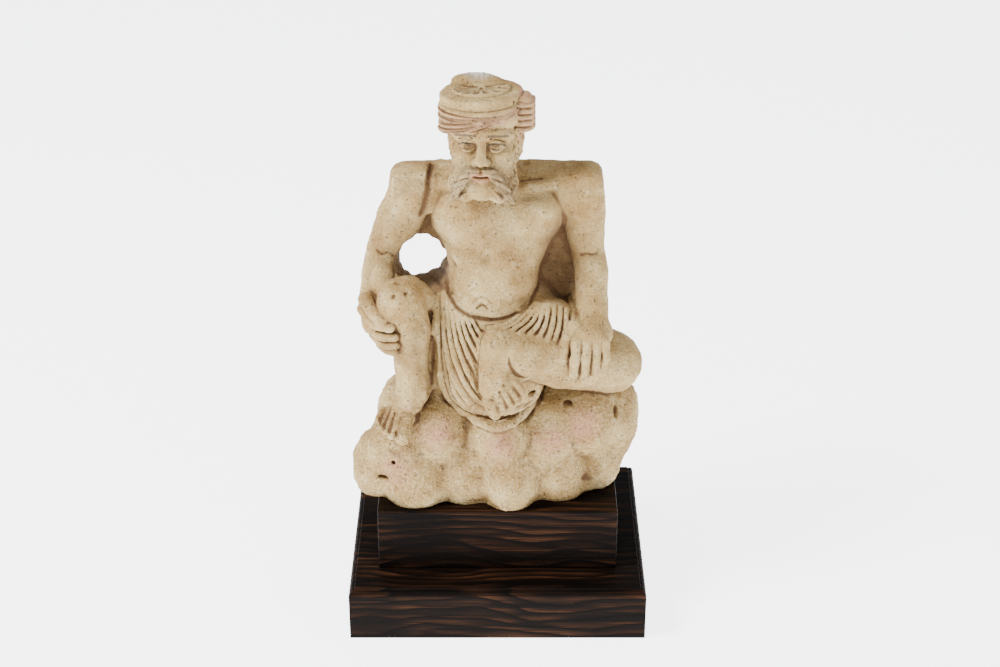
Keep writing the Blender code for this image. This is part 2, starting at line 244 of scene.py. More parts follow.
class Clay:
    """Signed distance to the surface at every point of a grid, in mm and below zero inside. A form is worked
    out as whole arrays over the box that holds it, and joined or cut with a rounded edge."""

    def __init__(self, spans, coarse, fine):
        """Along each axis the grid's step is coarse, fine and coarse again, between the four places given."""
        self.axes = [np.concatenate([np.arange(a, b, coarse), np.arange(b, c, fine), np.arange(c, d, coarse)])
                     .astype(np.float32) for a, b, c, d in spans]
        self.field = np.full([len(a) for a in self.axes], FAR, np.float32)

    def near(self, low, high):
        """The slices of the grid between two corners, and their x, y and z as open arrays."""
        spans = tuple(slice(int(np.searchsorted(axis, a)), int(np.searchsorted(axis, b)))
                      for axis, a, b in zip(self.axes, low, high))
        x, y, z = (axis[span] for axis, span in zip(self.axes, spans))
        return spans, (x[:, None, None], y[None, :, None], z[None, None, :])

    def join(self, spans, away, blend):
        """Smooth minimum: the smaller distance, less a quarter of the blend where the two are equal."""
        here = self.field[spans]
        meet = np.maximum(blend - np.abs(here - away), 0) / blend
        self.field[spans] = np.minimum(here, away) - meet * meet * blend / 4

    def carve(self, spans, away, blend):
        """Smooth maximum with the other shape turned inside out, which takes it away."""
        here = self.field[spans]
        meet = np.maximum(blend - np.abs(here + away), 0) / blend
        self.field[spans] = np.maximum(here, -away) + meet * meet * blend / 4

    def lump(self, centre, radii, blend=6, tilt=(0, 0, 0), square=2, cut=False):
        """A rounded form: the length of the point over the radii, under a power that squares it off, less one
        and over its own slope."""
        reach = max(radii) + blend + 3
        spans, (x, y, z) = self.near([c - reach for c in centre], [c + reach for c in centre])
        p = [x - centre[0], y - centre[1], z - centre[2]]
        if any(tilt):
            a, b, c = (math.radians(t) for t in tilt)
            turn = (np.array([[math.cos(c), -math.sin(c), 0], [math.sin(c), math.cos(c), 0], [0, 0, 1]])
                    @ np.array([[math.cos(b), 0, math.sin(b)], [0, 1, 0], [-math.sin(b), 0, math.cos(b)]])
                    @ np.array([[1, 0, 0], [0, math.cos(a), -math.sin(a)], [0, math.sin(a), math.cos(a)]]))
            p = [sum(np.float32(turn[i][j]) * p[i] for i in range(3)) for j in range(3)]
        share = [np.abs(q) / np.float32(r) for q, r in zip(p, radii)]
        size = sum(s ** square for s in share) ** np.float32(1 / square) + 1e-4
        slope = size ** (1 - square) * np.sqrt(sum((s ** (square - 1) / r) ** 2 for s, r in zip(share, radii)))
        away = (size - 1) / (slope + 1e-4)
        (self.carve if cut else self.join)(spans, away, blend)

    def strand(self, path, radii, blend=3, cut=False):
        """A rounded rod along a line of points: the distance to the nearest of its straight stretches, less a
        radius that runs evenly from point to point."""
        path = np.asarray(path, np.float32)
        radii = np.broadcast_to(np.asarray(radii, np.float32), len(path))
        reach = float(radii.max()) + blend + 2
        spans, _ = self.near(path.min(0) - reach, path.max(0) + reach)
        away = np.full([s.stop - s.start for s in spans], 99, np.float32)
        for a, b, ra, rb in zip(path, path[1:], radii, radii[1:]):
            inner, (x, y, z) = self.near(np.minimum(a, b) - reach, np.maximum(a, b) + reach)
            local = tuple(slice(i.start - s.start, i.stop - s.start) for i, s in zip(inner, spans))
            d = b - a
            t = ((x - a[0]) * d[0] + (y - a[1]) * d[1] + (z - a[2]) * d[2]) / max(float(d @ d), 1e-6)
            t = np.clip(t, 0, 1)
            gap = np.sqrt((x - a[0] - t * d[0]) ** 2 + (y - a[1] - t * d[1]) ** 2 + (z - a[2] - t * d[2]) ** 2)
            away[local] = np.minimum(away[local], gap - ra - (rb - ra) * t)
        (self.carve if cut else self.join)(spans, away, blend)

    def limb(self, *stations, blend=6):
        """A strand given as (x, y, z, radius) stations."""
        table = np.array(stations, np.float32)
        self.strand(table[:, :3], table[:, 3], blend)

    def land(self, points, toward, reach=90):
        """Where points that travel in a direction first meet the clay."""
        points = np.asarray(points, np.float32)
        toward = np.asarray(toward, np.float32)
        toward = toward / np.linalg.norm(toward, axis=-1, keepdims=True)
        steps = np.arange(0, reach, 0.4, dtype=np.float32)
        track = points[:, None, :] + steps[None, :, None] * np.broadcast_to(toward, points.shape)[:, None, :]
        inside = self.sample(self.field, track.reshape(-1, 3)).reshape(track.shape[:2]) < 0
        return track[np.arange(len(points)), inside.argmax(1)]

    def sample(self, values, points):
        """A grid of values read at any points, straight between the grid's own points along each axis."""
        place = np.stack([np.interp(points[:, i], axis, np.arange(len(axis)))
                          for i, axis in enumerate(self.axes)], 1)
        top = np.array(values.shape) - 2
        cell = np.clip(np.floor(place).astype(np.int32), 0, top)
        part = np.clip(place - cell, 0, 1)
        total = 0
        for corner in ((i, j, k) for i in (0, 1) for j in (0, 1) for k in (0, 1)):
            weight = np.prod(np.where(corner, part, 1 - part), axis=1)
            total = total + weight * values[tuple((cell + corner).T)]
        return total


def through(points, steps=10):
    """A smooth line through a few points: between each two, a cubic whose ends lean along the neighbours.
    Every column is carried, so a radius may follow the place."""
    p = np.asarray(points, float)
    p = np.concatenate([2 * p[:1] - p[1:2], p, 2 * p[-1:] - p[-2:-1]])
    t = np.linspace(0, 1, steps, endpoint=False)[:, None, None]
    a, b, c, d = p[:-3], p[1:-2], p[2:-1], p[3:]
    line = 0.5 * (2 * b + (c - a) * t + (2 * a - 5 * b + 4 * c - d) * t ** 2
                  + (3 * b - a - 3 * c + d) * t ** 3)
    return np.concatenate([line.transpose(1, 0, 2).reshape(-1, p.shape[1]), p[-2:-1]])


# The second grid carries lines of painted shade along grooves, and the dark of cracks
clay, shade_and_crack_lines = Clay(CLAY_SPANS, STEP, FINE_STEP), Clay(CLAY_SPANS, STEP, FINE_STEP)


def score(line, radii, blend, shade_widening=0.3):
    """A groove cut in the clay, and the same line laid in a second grid, which tells where it is darkened:
    painted shade in folds, creases and gaps, and the dark of cracks and of the repaired break."""
    clay.strand(line, radii, blend, cut=True)
    shade_and_crack_lines.strand(line, np.asarray(radii) + shade_widening, 0.2)


# Rock: a dome with two rows of soft lobes in front, and larger plain ones behind
clay.lump((-6, 4, 14), (102, 54, 82), 1)
clay.lump((0, 14, 30), (98, 42, 46), 6, square=5)
clay.lump((0, 10, 58), (80, 38, 36), 6, square=5)
clay.lump((-84, -29, 40), (25, 25, 26), 3)
for x, y, z, rx, ry, rz in ((-97, -20, 18, 23, 27, 31), (-66, -33, 17, 29, 30, 38), (-26, -26, 16, 26, 31, 38),
                            (10, -33, 18, 26, 34, 40), (48, -20, 18, 27, 33, 38), (78, -5, 20, 25, 31, 36),
                            (-76, -11, 58, 23, 34, 32), (-49, -29, 57, 24, 29, 29), (2, -33, 55, 26, 31, 29),
                            (43, -29, 58, 25, 30, 30), (72, -17, 62, 27, 33, 31), (95, 6, 50, 22, 31, 36)):
    clay.lump((x, y, z), (rx, ry, rz), 6)
clay.lump((27, -32, 38), (19, 24, 22), 5)
for x, y, z, r in ((-68, 34, 30, 22), (-30, 38, 30, 22), (12, 38, 34, 23), (54, 36, 30, 22), (88, 26, 36, 20),
                   (-46, 36, 64, 18), (-8, 36, 72, 20), (36, 36, 72, 20), (74, 28, 70, 18)):
    clay.lump((x, y, z), (r, r * 0.8, r), 8)

# Cloth over the hips and between the legs, as a sloping mass
for centre, radii in (((-6, -8, 146), (50, 30, 28)), ((-7, -18, 124), (42, 32, 48)),
                      ((-2, -35, 102), (38, 20, 28)), ((36, -16, 144), (28, 24, 24))):
    clay.lump(centre, radii, 8)
clay.lump((-44, -8, 120), (13, 22, 44), 8, square=4)

# Trunk: chest, ribs, belly and hips, with the plain web of plaster behind them and the arms
SHOULDER_R, SHOULDER_L = (-64, 9, 252.5), (62.5, 9, 253)
ELBOW_R, ELBOW_L = (-89, 8, 199), (71, 4, 200)
WRIST_R, WRIST_L = (-97, -20, 167), (75, -18, 155)
HIP_R, HIP_L = (-34, 4, 140), (34, 4, 134)
KNEE_L = (91, -14, 110)
ANKLE_R, ANKLE_L = (-66, -38, 103), (-1, -50, 143)
HEAD = np.array((-9, -8, 300))
for centre, radii in (((0, 5, 232), (52, 28, 35)), ((-20, -2, 238), (28, 22, 22)),
                      ((22, -2, 238), (28, 22, 22)), ((-1, 2, 212), (41, 30, 36)),
                      ((-4, -3, 188), (36.5, 33, 34)), ((-6, 4, 154), (52, 36, 34))):
    clay.lump(centre, radii, 5)
clay.limb((*SHOULDER_R, 16), (-34, 10, 253, 13.5), (0, 8, 254, 15), (34, 10, 253, 13.5), (*SHOULDER_L, 16),
          blend=4)
clay.limb((-6, 4, 262, 22), (-8, -5, 292, 20), blend=5)
clay.lump((-4, 22, 198), (80, 12, 70), 4, square=6)
clay.lump((-4, 22, 128), (71, 20, 61), 4, square=5)
clay.lump((-3, 18, 225), (56, 22, 42), 5)
clay.lump((-5, 20, 176), (42, 20, 40), 5)
for side in (-1, 1):
    clay.lump((1 + 22 * side, -15, 242), (21, 10.5, 13), 5, tilt=(0, -14 * side, 0))
    clay.strand(through([(-6 + 9 * side, -13.5, 258), (20 * side, -10.5, 260), (42 * side, -3, 261)]), 3.2, 7)
    rib = [(-6 + 28 * side, -19, 207), (-6 + 20 * side, -26, 204), (-6 + 9 * side, -29, 208)]
    clay.strand(through(rib), 2.6, 6)
clay.lump((-9, -23, 185), (26, 14, 19), 6)
clay.lump((-10, -23, 168), (24, 15, 12), 6)
clay.strand(through([(-5, -30, 236), (-7, -30.5, 222), (-8, -32, 208)]), 2.2, 5, cut=True)


def laid(line, lift, toward=(0, 1, 0), start=-73):
    """A line of (x, z) points dropped on the clay from the front, and then lifted off it by so much."""
    p = np.asarray(line, float)
    down = clay.land(np.stack([p[:, 0], np.full(len(p), start), p[:, 1]], 1), toward)
    return down - np.asarray(toward) * lift


GAZE = np.array((-0.0375, 0.9215, -0.3865))


def seen(points):
    """Points moved along the photo's line of sight until they lie on the clay."""
    return clay.land(np.asarray(points, float) - 60 * GAZE, GAZE, 140)


def smoothed(line, times=3):
    """A line evened out: each point moves to the mean of itself and its neighbours, the ends stay."""
    line = np.array(line)
    for _ in range(times):
        line[1:-1] = (line[:-2] + 2 * line[1:-1] + line[2:]) / 4
    return line


# Folds of the cloth: a rolled hem that hangs in a U, the same U repeated inside it, and a fan over the thigh
HEM = [(-46, 182), (-48, 159), (-48, 130), (-46, 110), (-41, 93), (-34, 81), (-25, 75.5), (-11, 73), (5, 73),
       (18, 77.5), (29, 86), (36, 95), (43, 105)]
HANGING = [[(-43.5, 178), (-43.5, 141), (-40, 118), (-32, 99.5), (-21, 86), (-6, 80), (10, 79.5), (24, 86)],
           [(-40.5, 175), (-39.5, 146), (-34.5, 122), (-25, 103), (-14, 91), (-4, 88), (8, 88), (16, 91)],
           [(-37.3, 172.5), (-35, 149), (-29, 126), (-20, 108), (-13, 99)],
           [(-34, 170), (-30.8, 150), (-24, 130), (-15, 114)],
           [(-30.6, 168), (-26.5, 151), (-20, 137), (-13, 125)],
           [(-27, 166), (-22, 152), (-16, 142), (-11, 135)],
           [(-23, 164), (-17.5, 154), (-12, 146)],
           [(-18.5, 162.5), (-13, 155), (-8, 151)]]
FAN = [[(25.5, 168), (8, 160), (-10, 157.5)], [(28, 167.5), (12, 158), (-7, 154)],
       [(30, 167), (18, 158), (2, 152.5)],
       [(32, 166.5), (24.5, 157.5), (12, 150.5)], [(34.6, 166.5), (30, 157.5), (21, 149)],
       [(38, 166.5), (35, 157), (29, 147.5)], [(42, 166), (40, 156.5), (36, 146.5)],
       [(46.5, 165), (45.5, 156), (42.5, 145.5)], [(51, 163), (50.5, 154.5), (48, 144.5)],
       [(56, 160), (55, 152), (52.5, 143.5)], [(61, 157), (59.5, 150), (57, 142.5)]]


def even(line, count=36):
    """A line of control points drawn smooth and cut into equal steps of its own length."""
    drawn = through(line)
    run = np.concatenate([[0], np.cumsum(np.linalg.norm(np.diff(drawn, axis=0), axis=1))])
    at = np.linspace(0, run[-1], count)
    return np.stack([np.interp(at, run, drawn[:, i]) for i in range(2)], 1)


hem = smoothed(laid(even(HEM, 48), 1.6), 8)
inner = [(x * 0.88 + 0.4, z + (5.6 if z < 90 else 2)) for x, z in HEM[2:-1]]
inside_hem = smoothed(laid(even(inner), 0.2), 14)
for family, radius, deep in ((HANGING, 2.5, 1.2), (FAN, 2.4, 0.9)):
    grooves = [even(line) for line in family]
    ridges = [smoothed(laid((a + b) / 2, 0.5), 8) for a, b in zip(grooves, grooves[1:])]
    cuts = [smoothed(laid(line, 1.2), 8) for line in grooves]
    for line in ridges:
        clay.strand(line, radius, 0.6)
    for line in cuts:
        taper = np.interp(np.linspace(0, 1, len(line)), (0, 0.35, 0.85, 1), (0.2, deep, deep, 0.4))
        score(line, taper, 0.6, -0.4)
clay.strand(hem, 3.6, 0.5)
score(inside_hem, 1.4, 0.5, -0.4)
# A shallow groove just outside the rolled hem, with painted shadow in it under the hem's edge
out = (hem - (-6, 0, 125)) * (1, 0, 1)
score(hem + 3.9 * out / np.linalg.norm(out, axis=1, keepdims=True) + (0, 1, 0), 1.1, 0.6)

# Waist: the cloth's edge bites into the belly in a deep line, darkened with painted shade
BELLY = [(-43, 182), (-36, 171), (-22, 164.5), (-10, 161.5), (6, 161.5), (18, 164.5), (27, 170), (33, 176)]
score(smoothed(laid(through(BELLY), -0.2), 8), 1.5, 0.5)
clay.strand(smoothed(laid(through([(-16.5, 171), (-12, 173.2), (-7.5, 171)]), 0.4)), 1.5, 0.9, cut=True)
clay.strand(smoothed(laid(through([(-18.5, 171), (-12, 178), (-5.5, 171.5)]), 0)), 1.6, 1.2)

# Right leg, its knee up and its foot on the rock
clay.limb((*HIP_R, 26), (-56, -3, 156, 17), (-69, -22, 176, 14), blend=3)
clay.lump((-76, -37, 173), (17.5, 14.5, 20), 3, square=2.6)
clay.lump((-77, -48, 180), (9, 6, 11), 4)
clay.limb((-73, -31, 176, 16.5), (-69, -34, 152, 16.5), (-68, -35, 130, 14.4), (*ANKLE_R, 14), blend=3)
clay.limb((-66, -34, 99, 14), (-71, -41, 89, 12), (-79, -44, 80, 10), blend=4)
clay.lump((-80, -44, 76), (15, 9.5, 9), 3, tilt=(24, 0, 0))
clay.strand(through([(-70, -48, 168), (-68, -50, 140), (-66, -50, 112), (-70, -54, 94)]), 2.5, 9)
clay.lump((-53, -38, 96), (5, 6, 6), 5)
# Left leg, folded flat with its foot under the other shin
clay.limb((*HIP_L, 27), (62.5, -5, 122, 25.5), (*KNEE_L, 24), blend=4)
clay.limb((*KNEE_L, 23.4), (50, -34, 120, 20.6), (26, -43, 131, 17.2), (*ANKLE_L, 13.2), blend=4)
clay.limb((*ANKLE_L, 13.2), (-3, -55, 126, 12), (-4, -57, 112, 10.5), blend=4)
clay.lump((2, -57, 111), (16, 7.5, 9.5), 3, tilt=(0, -40, 0))
clay.lump((13, -50, 122), (12, 9, 10), 4)

# Arms: both straight down to the knees, with the shoulder's cap, the upper arm and the forearm swelling
clay.lump(SHOULDER_R, (20, 18, 18.2), 3, square=3.8)
clay.lump(SHOULDER_L, (20, 18, 18.2), 3, square=3.8)
clay.lump((-90, -20, 186), (9, 14, 14), 3)
clay.limb((*SHOULDER_R, 17.5), (-77, 9, 226, 18), (*ELBOW_R, 14.5), (-93, 0, 187, 13.5), (*WRIST_R, 12),
          blend=5)
clay.limb((*SHOULDER_L, 17.5), (67.5, 7, 233, 17), (*ELBOW_L, 13), (74, -4, 186, 13.4), (*WRIST_L, 12.5),
          blend=5)
clay.lump((-97, -26, 158), (10, 16, 15), 5, tilt=(0, 10, 0))
clay.lump((74, -28, 144), (17, 13, 15), 5)

# Right hand, wrapped round the outside of the knee
clay.strand(through([(-103, -30, 175), (-97, -42, 170), (-89, -49, 163)], 6), np.linspace(5.4, 4.0, 13), 2.5)
for knuckle, middle, tip, thick in (((-105, -30, 166), (-95, -43, 160), (-83, -50.5, 160), 4.6),
                                    ((-101, -30, 154), (-91, -43.5, 149.5), (-80, -50.5, 152), 4.3),
                                    ((-97, -31, 144), (-88, -43.5, 141.5), (-79, -50, 144.5), 4.0),
                                    ((-92, -32, 136), (-86, -43, 135.5), (-80, -49, 138), 3.5)):
    finger = through([knuckle, middle, tip], 7)
    clay.strand(finger, np.linspace(thick, thick - 0.7, len(finger)), 1.0)
    # Painted shade along the top of each finger, in the gap to the one above
    shade_and_crack_lines.strand(finger + (0, -1, thick), 0.9, 0.2)
# Left hand, laid flat on the thigh with the fingers down
clay.lump((72, -40, 143), (15, 9, 13), 4, tilt=(0, -4, 0))
clay.strand(through([(60, -34, 152), (53, -42, 141), (51, -49, 131)], 6), np.linspace(6.0, 4.2, 13), 2)
FINGERS_L = ((60.5, 121, 4.6), (68.8, 117.5, 4.8), (77, 121, 4.4), (83.8, 127, 3.7))
for k, (x, reach, thick) in enumerate(FINGERS_L):
    finger = through([(x + 1.2 - 0.6 * k, -45, 145), (x + 0.4, -51 + 0.5 * k, 136), (x - 0.4, -53 + k, 129),
                      (x - 0.8, -52.5 + k, reach)], 5)
    bony = 1 + 0.08 * np.cos(np.linspace(0, 4 * math.pi, len(finger)))
    clay.strand(finger, np.linspace(thick, thick - 0.8, len(finger)) * bony, 1.2)
for x, top, low in ((64.6, 142, 122), (73, 143, 119.5), (80.8, 142, 124)):
    gap = through([(x + 0.4, -47, top), (x, -54, 132), (x - 0.6, -55, low)], 5)
    score(gap, np.linspace(0.6, 1.4, 11), 0.6)
# Toes, each with a nail pressed in
TOES_R = (((-71, -50, 79.5), (-75, -61.5, 67), 5.7), ((-78.5, -49.5, 81), (-83, -60, 69.5), 3.8),
          ((-83.5, -47.5, 82), (-88.5, -57.5, 71.8), 3.5), ((-87.5, -45, 82.5), (-92.5, -54, 74.2), 3.2),
          ((-91, -42, 83), (-95.5, -49.5, 77), 2.9))
TOES_L = (((-7, -61, 102), (-2, -65, 92.5), 5.2), ((-0.5, -62, 106), (5, -65.5, 95.5), 4.3),
          ((4, -62, 110), (11, -65.5, 99.5), 4), ((8, -61, 114), (15.5, -64.5, 104.5), 3.7),
          ((11.5, -60, 118), (19, -62.5, 110.5), 3.4))
for toes in (TOES_R, TOES_L):
    toes = [(np.array(base, float), np.array(end, float), r) for base, end, r in toes]
    for base, end, r in toes:
        clay.strand([base, 0.5 * (base + end) + (0, -0.6, 0.6), end], [r * 0.9, r * 1.06, r], 1.6)
        clay.lump(tuple(end + (0, -r * 0.62, r * 0.62)), (r * 0.6, r * 0.5, r * 0.5), 0.4)
        for edge in (0.75 * r, -0.75 * r):
            nail = [end + (edge, -r * 0.45, r * 0.5), end + (edge, -r * 0.25, r * 1.1)]
            clay.strand(nail, 0.4, 0.3, cut=True)
    for (a, c, r), (b, d, _) in zip(toes, toes[1:]):
        base, end = 0.5 * (a + b), 0.5 * (c + d)
        score([base + 0.25 * (base - end) + (0, -r * 0.8, r * 0.8), base + (0, -r * 0.95, r * 0.8),
               end + (0, -r * 0.95, r * 0.3)], [0.35, 0.7, 1.1], 0.3, 0.25)

# The left foot's outline pressed in on both sides, with painted shade along each groove
for line, r in (([(-9, 158), (-14, 142), (-15.5, 129), (-16, 112), (-11, 99), (-7, 89)], 2.4),
                ([(9, 141), (10, 131), (15, 123), (24, 117)], 1.6)):
    taper = np.interp(np.linspace(0, 1, 20), (0, 0.2, 0.9, 1), (0.4, r, r, 0.7))
    score(smoothed(laid(even(line, 20), 0.2), 6), taper, 0.8, -0.5)

# Head: an egg with the cap over it, the cheeks full and the jaw hidden in the beard
TURN, NOD = math.radians(-5), math.radians(-9)


def on_head(points):
    """Points of the head's own frame, right, back and up from its middle, tipped back and turned a little to
    its right."""
    x, y, z = np.moveaxis(np.asarray(points, float), -1, 0)
    y, z = y * math.cos(NOD) - z * math.sin(NOD), y * math.sin(NOD) + z * math.cos(NOD)
    x, y = x * math.cos(TURN) - y * math.sin(TURN), x * math.sin(TURN) + y * math.cos(TURN)
    return np.stack([x, y, z], -1) + HEAD


def on_face(centre, radii, blend, **settings):
    """A lump whose middle is given in the head's own frame."""
    clay.lump(tuple(on_head(centre)), radii, blend, **settings)


def spread_over(radii, line):
    """A few radii shared out evenly along a line, straight between each two."""
    return np.interp(np.linspace(0, 1, len(line)), np.linspace(0, 1, len(radii)), radii)


def face_line(points, radii, blend, cut=False, steps=6):
    """A strand through points of the head's own frame, with its radii spread over its length."""
    line = through(points, steps)
    clay.strand(on_head(line), spread_over(radii, line), blend, cut)


on_face((0, 4, 3), (28, 31, 34), 3)
on_face((0, -8, -14), (23, 23.5, 27), 4)
on_face((0, -19, -30), (15.5, 14, 11), 4)
on_face((0, -25.5, -35.5), (8.5, 7.5, 6), 3)
on_face((0, -21, -29), (18, 9, 10), 4)
for side in (-1, 1):
    on_face((13 * side, -23, -37), (7, 7, 7), 4)
on_face((0, -20, 9), (23, 13, 11), 4)
for side in (-1, 1):
    on_face((14.5 * side, -13, -30), (10.5, 11.5, 12), 4)
    on_face((13.5 * side, -20.5, -9), (10, 10.5, 10), 4)
    on_face((11 * side, -39, 2), (9, 8.6, 5), 2, cut=True)
    face_line([(21.5 * side, -20.5, 8), (13.5 * side, -29, 10.5), (4.5 * side, -31.5, 8)], [2, 2.5, 2.2], 2.5)
    on_face((11 * side, -25.6, 2), (7.4, 6.4, 4.4), 0.6)
    face_line([(4.2 * side, -29.2, 0.8), (7.4 * side, -31.8, 4.6), (12.4 * side, -32.2, 5.2),
               (18.4 * side, -26.4, 1.6)], [0.6, 1.25, 1.25, 0.6], 0.3)
    face_line([(4.6 * side, -29.0, 0.4), (8.4 * side, -31.2, -2.0), (12.8 * side, -30.9, -2.0),
               (18.2 * side, -26.4, 1.2)], [0.5, 1.0, 1.0, 0.5], 0.3)
    face_line([(6 * side, -32.2, 7.6), (11 * side, -33.4, 8.4), (17.5 * side, -28.4, 6.0)], [0.8], 0.5,
              cut=True)
    turn = np.linspace(0, 2 * math.pi, 17)
    iris = np.stack([10.8 * side + 1.9 * np.cos(turn), 0 * turn - 32, 2 + 1.9 * np.sin(turn)], 1)
    clay.strand(on_head(iris), 0.4, 0.2, cut=True)
    on_face((10.8 * side, -32.2, 2.0), (0.8, 1.2, 0.8), 0.2, cut=True)
    on_face((4.4 * side, -33.4, -10.4), (3.0, 4.2, 3), 1.0)
face_line([(0, -29.5, 9), (0, -32, 2), (0, -35, -4), (0, -37.4, -8.6)], [3.6, 3.2, 3.8, 4.4], 2.5)
for side in (-1, 1):
    on_face((2.6 * side, -37.8, -13), (1.3, 2, 1.0), 0.5, cut=True)
    face_line([(6.6 * side, -33, -7), (8.6 * side, -32, -10.6), (10 * side, -31.4, -14)], [0.7], 1.0, cut=True)
face_line([(-7.6, -30.6, -20.6), (-3, -34.2, -19.2), (0, -34.2, -19.8), (3, -34.2, -19.2),
           (7.6, -30.6, -20.6)], [1.0, 1.8, 1.6, 1.8, 1.0], 0.8)
face_line([(-6.4, -31, -23), (0, -34.4, -24.2), (6.4, -31, -23)], [1.2, 2.2, 1.2], 0.8)
face_line([(-6.6, -33.2, -21.6), (0, -36, -21.7), (6.6, -33.2, -21.6)], [0.5], 0.4, cut=True)

# Moustache: on each side three strands twisted into a tail that droops past the jaw, with loose wisps
for side in (-1, 1):
    core = through([(2 * side, -36.4, -15.8), (8 * side, -37, -18), (14 * side, -34, -25),
                    (18.5 * side, -29, -34), (24.5 * side, -24.5, -44)], 8)
    along = np.linspace(0, 1, len(core))
    spread = 2.2 * np.sin(math.pi * np.clip(along * 0.95 + 0.05, 0, 1)) ** 0.6
    for k in range(3):
        phase = 2 * math.pi * k / 3 + 9 * along
        tail = core + np.stack([spread * np.cos(phase) * 0.9 * side, spread * np.sin(phase) * 0.8,
                                spread * np.cos(phase) * 0.7], 1)
        clay.strand(on_head(tail), np.interp(along, (0, 0.2, 0.7, 1), (1.0, 1.7, 1.5, 0.8)), 0.15)
    for k in range(3):
        wisp = [((9 + 3 * k) * side, -36 + 1.6 * k, -20 - 4.5 * k),
                ((12.5 + 3 * k) * side, -34 + 2 * k, -23 - 4.6 * k),
                ((13.4 + 3.2 * k) * side, -31 + 2 * k, -28.5 - 4.6 * k)]
        face_line(wisp, [1.2, 1.5, 0.8], 0.6, steps=5)


def hair_line(angles, heights, radii, start=44, blend=0.9):
    """A lock on the head: rays from outside, level in the head's frame, meet it at angles from the face's
    middle towards either side, and the lock runs through the points where they land."""
    a, w = (np.array(v, float) for v in (angles, heights))
    spine = np.stack([0 * w, 2 + 0 * w, w], 1)
    outside = spine + start * np.stack([np.sin(a), -np.cos(a), 0 * w], 1)
    line = through(clay.land(on_head(outside), on_head(spine) - on_head(outside), start), 4)
    clay.strand(line, spread_over(radii, line), blend)


# Side hair and beard: short comma locks, row under row, from the temples round the jaw
for side in (-1, 1):
    for row in range(6):
        for k in range(4):
            a = side * math.radians(52 + 13 * k + 6 * (row % 2))
            w = 12 - 6.6 * row + 1.2 * (k % 2)
            if w > -19 or k == 0:
                hair_line([a, a + side * 0.12, a - side * 0.04], [w + 4, w, w - 4.6], [1.0, 2.1, 0.6],
                          blend=0.2)
    for k in range(9):
        a = side * math.radians(18 + 7 * k)
        w = -39 + 1.9 * k
        hair_line([a, a + side * 0.10, a - side * 0.04], [w + 4.4, w, w - 4.6], [1.1, 2.2, 0.7],
                  start=42, blend=0.3)
# Hair at the nape, in plain wavy locks
for k, a in enumerate(np.radians(np.arange(118, 243, 9.5))):
    w = np.linspace(14, -15, 7)
    hair_line(a + 0.05 * np.sin(w / 4 + k), w, [2.2, 2.6, 2.2, 2.4, 1.6])

# Cap and band: a flat disc with a raised pleated middle, over four rolls of a scarf knotted at the side
CAP = (-12, -5, 333.2)
CAP_BACK, CAP_SIDE = math.radians(-4), math.radians(-3)
CAP_DISCS = ((CAP, (31.6, 30.8), 5.0, 1.9), ((-11.5, -5, 337), (22, 21), 3.2, 1.0))
PLEATS = (150, 172, 192, 212, 235, 258, 282, 310, 340, 15)
BAND = (-11.5, -6)


def on_cap(points):
    """Points on the cap's tilted top, right, back and up from its middle."""
    x, y, z = np.moveaxis(np.asarray(points, float), -1, 0)
    y, z = y * math.cos(CAP_BACK) - z * math.sin(CAP_BACK), y * math.sin(CAP_BACK) + z * math.cos(CAP_BACK)
    x, z = x * math.cos(CAP_SIDE) + z * math.sin(CAP_SIDE), -x * math.sin(CAP_SIDE) + z * math.cos(CAP_SIDE)
    return np.stack([x, y, z], -1) + CAP


def disc(points, reach, half, soft):
    """The distance to a flat oval disc in the cap's tilt: how far a point is past the rim and past the flat
    side, as the two legs of a right angle, less the radius of the rounded edge."""
    x, y, z = points
    x, z = x * math.cos(CAP_SIDE) - z * math.sin(CAP_SIDE), x * math.sin(CAP_SIDE) + z * math.cos(CAP_SIDE)
    y, z = y * math.cos(CAP_BACK) + z * math.sin(CAP_BACK), -y * math.sin(CAP_BACK) + z * math.cos(CAP_BACK)
    rim = (np.sqrt((x / reach[0]) ** 2 + (y / reach[1]) ** 2) - 1) * min(reach) + soft
    flat = np.abs(z) - half + soft
    return np.minimum(np.maximum(rim, flat), 0) + np.hypot(np.maximum(rim, 0), np.maximum(flat, 0)) - soft


clay.lump((-11.5, -6, 323.5), (29.6, 30, 11), 2, square=3)
spans, (x, y, z) = clay.near((-48, -45, 312), (28, 34, 346))
for centre, reach, half, soft in CAP_DISCS:
    clay.join(spans, disc((x - centre[0], y - centre[1], z - centre[2]), reach, half, soft), 1.5)
clay.lump((-16, 17, 338), (19, 9, 5), 4)
for a in np.radians(PLEATS):
    spoke = [(0.5 + t * 20 * math.cos(a), 2 + t * 18 * math.sin(a), 6.8 + 0.4 * t) for t in (0.2, 0.55, 0.95)]
    score(on_cap(spoke), [1.4, 2.2, 2.6], 0.4, -0.1)
clay.lump(tuple(on_cap((1, 0, 7))), (1.9, 1.7, 5), 0.4, cut=True)


def ring(height, front, droop, reach, radius, blend=0.6, cut=False):
    """One roll round the head: so much higher in front than behind, and lower towards the figure's right by
    the droop, where it is also thicker."""
    turn = np.linspace(0, 2 * math.pi, 49)
    rise = droop / 2 * np.cos(turn) - front * np.sin(turn) + 0.5 * np.sin(3 * turn + height)
    line = np.stack([BAND[0] + reach * np.cos(turn), BAND[1] + (reach + 0.6) * np.sin(turn), height + rise], 1)
    width = radius * (1.12 - 0.3 * np.cos(turn) + 0.06 * np.sin(5 * turn + height))
    if cut:
        score(line, width, blend, -0.1)
    else:
        clay.strand(line, width, blend)


